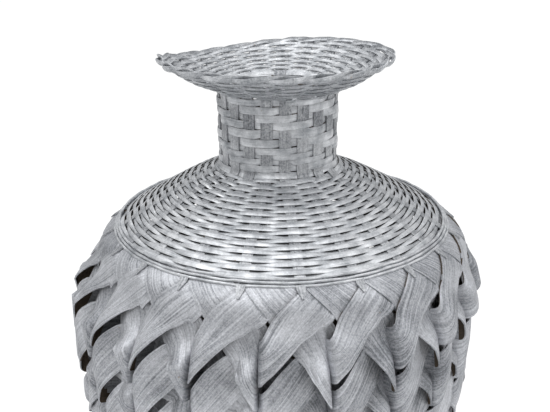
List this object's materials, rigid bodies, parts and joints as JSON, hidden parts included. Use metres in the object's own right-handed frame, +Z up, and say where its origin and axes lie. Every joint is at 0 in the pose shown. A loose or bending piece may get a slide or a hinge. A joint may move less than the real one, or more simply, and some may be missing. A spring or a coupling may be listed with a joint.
{
  "type": "plaited bamboo vase",
  "caption": "Silver painted bamboo vase: woven rim, neck and shoulder over a round belly loosely plaited in broad slanting strips.",
  "frame": {"origin": "centre of the foot ring's underside, on the floor", "axes": "+Z up along the vase's axis, -Y towards the viewer of the picture, +X to the viewer's right"},
  "size_m": [0.3012, 0.3018, 0.3202],
  "materials": {
    "silver_strip": "satin silver paint over split bamboo",
    "silver_stake": "worn satin silver paint over bamboo",
    "silver_weaver": "smooth satin silver paint over bamboo"
  },
  "bodies": {
    "root": {"broad_strip_01": "silver_strip", "broad_strip_02": "silver_strip", "broad_strip_03": "silver_strip", "broad_strip_04": "silver_strip", "broad_strip_05": "silver_strip", "broad_strip_06": "silver_strip", "broad_strip_07": "silver_strip", "broad_strip_08": "silver_strip", "broad_strip_09": "silver_strip", "broad_strip_10": "silver_strip", "broad_strip_11": "silver_strip", "broad_strip_12": "silver_strip", "broad_strip_13": "silver_strip", "broad_strip_14": "silver_strip", "broad_strip_15": "silver_strip", "broad_strip_16": "silver_strip", "broad_strip_17": "silver_strip", "broad_strip_18": "silver_strip", "broad_strip_19": "silver_strip", "broad_strip_20": "silver_strip", "broad_strip_21": "silver_strip", "stake_01": "silver_stake", "stake_02": "silver_stake", "stake_03": "silver_stake", "stake_04": "silver_stake", "stake_05": "silver_stake", "stake_06": "silver_stake", "stake_07": "silver_stake", "stake_08": "silver_stake", "stake_09": "silver_stake", "stake_10": "silver_stake", "stake_11": "silver_stake", "stake_12": "silver_stake", "stake_13": "silver_stake", "stake_14": "silver_stake", "stake_15": "silver_stake", "stake_16": "silver_stake", "stake_17": "silver_stake", "stake_18": "silver_stake", "stake_19": "silver_stake", "stake_20": "silver_stake", "stake_21": "silver_stake", "rim_weaver": "silver_weaver", "neck_weaver": "silver_weaver", "shoulder_weaver": "silver_weaver", "inner_weaver": "silver_weaver", "rim_border": "silver_weaver", "shoulder_border": "silver_weaver", "base_panel": "silver_stake", "foot_ring": "silver_stake"}
  },
  "joints": []
}
